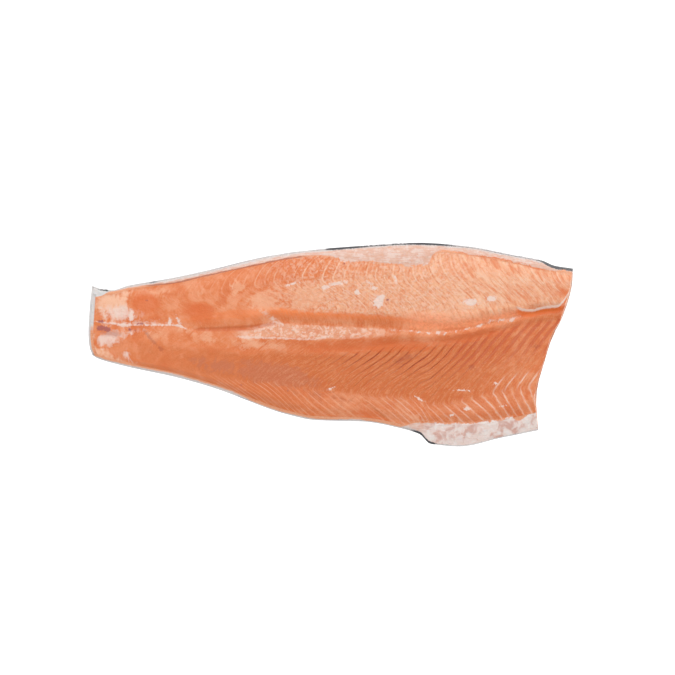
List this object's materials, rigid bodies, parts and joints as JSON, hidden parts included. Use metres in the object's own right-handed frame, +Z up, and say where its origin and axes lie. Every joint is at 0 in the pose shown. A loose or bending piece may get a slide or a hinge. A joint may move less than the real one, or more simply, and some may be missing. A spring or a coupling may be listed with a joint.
{
  "type": "raw salmon fillet",
  "caption": "Whole raw side of salmon, skin on, cut face up, tapering from the thick loin to a thin tail, with a pale belly flap.",
  "frame": {"origin": "centre of the underside's outline box, on the surface that the fillet lies on", "axes": "+X from the tail to the shoulder cut, +Y from the belly edge to the back edge, +Z up out of the cut face"},
  "size_m": [0.4487, 0.1879, 0.033],
  "materials": {
    "flesh": "moist orange muscle in zigzag segments with thin pale seams",
    "fat_layer": "moist pale pink fat with white membrane",
    "skin": "wet scaled skin, blue-black on the back and silver to the belly"
  },
  "bodies": {
    "root": {"flesh": "flesh", "fat_layer": "fat_layer", "skin": "skin"}
  },
  "joints": []
}
